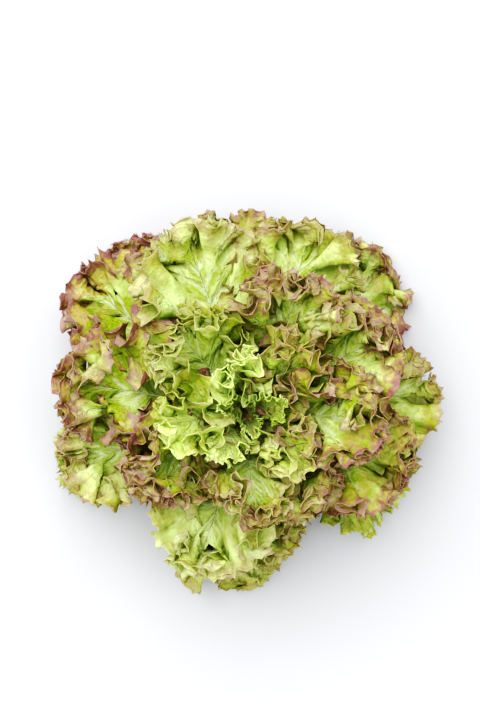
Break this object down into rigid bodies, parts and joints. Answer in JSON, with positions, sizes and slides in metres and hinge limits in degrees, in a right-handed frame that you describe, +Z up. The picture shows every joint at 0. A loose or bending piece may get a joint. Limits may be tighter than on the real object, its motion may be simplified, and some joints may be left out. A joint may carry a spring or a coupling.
{
  "type": "loose-leaf lettuce head",
  "caption": "Frilly red-tipped loose-leaf lettuce head: a rosette of overlapping thin leaves round a short stem, standing on its flat cut face.",
  "frame": {"origin": "centre of the stem's flat cut face", "axes": "+Z up out of the heart of the head, +X and +Y level, with the picture's upper edge towards +Y"},
  "size_m": [0.2951, 0.2866, 0.1336],
  "materials": {
    "outer_leaf": "satin leaf, green flushed with bronze and purple at the frilled margin",
    "middle_leaf": "satin leaf, yellow-green with a bronze and purple margin",
    "heart_leaf": "satin leaf, bright fresh green",
    "stem": "matte pale stem, browned at the cut"
  },
  "bodies": {
    "root": {"stem": "stem", "outer_leaf_01": "outer_leaf", "outer_leaf_02": "outer_leaf", "outer_leaf_03": "outer_leaf", "outer_leaf_04": "outer_leaf", "outer_leaf_05": "outer_leaf", "outer_leaf_06": "outer_leaf", "outer_leaf_07": "outer_leaf", "outer_leaf_08": "outer_leaf", "outer_leaf_09": "outer_leaf", "outer_leaf_10": "outer_leaf", "outer_leaf_11": "outer_leaf", "outer_leaf_12": "outer_leaf", "middle_leaf_01": "middle_leaf", "middle_leaf_02": "middle_leaf", "middle_leaf_03": "middle_leaf", "middle_leaf_04": "middle_leaf", "middle_leaf_05": "middle_leaf", "middle_leaf_06": "middle_leaf", "middle_leaf_07": "middle_leaf", "middle_leaf_08": "middle_leaf", "middle_leaf_09": "middle_leaf", "middle_leaf_10": "middle_leaf", "middle_leaf_11": "middle_leaf", "middle_leaf_12": "middle_leaf", "heart_leaf_01": "heart_leaf", "heart_leaf_02": "heart_leaf", "heart_leaf_03": "heart_leaf", "heart_leaf_04": "heart_leaf", "heart_leaf_05": "heart_leaf", "heart_leaf_06": "heart_leaf", "heart_leaf_07": "heart_leaf", "heart_leaf_08": "heart_leaf", "heart_leaf_09": "heart_leaf", "heart_leaf_10": "heart_leaf"}
  },
  "joints": []
}
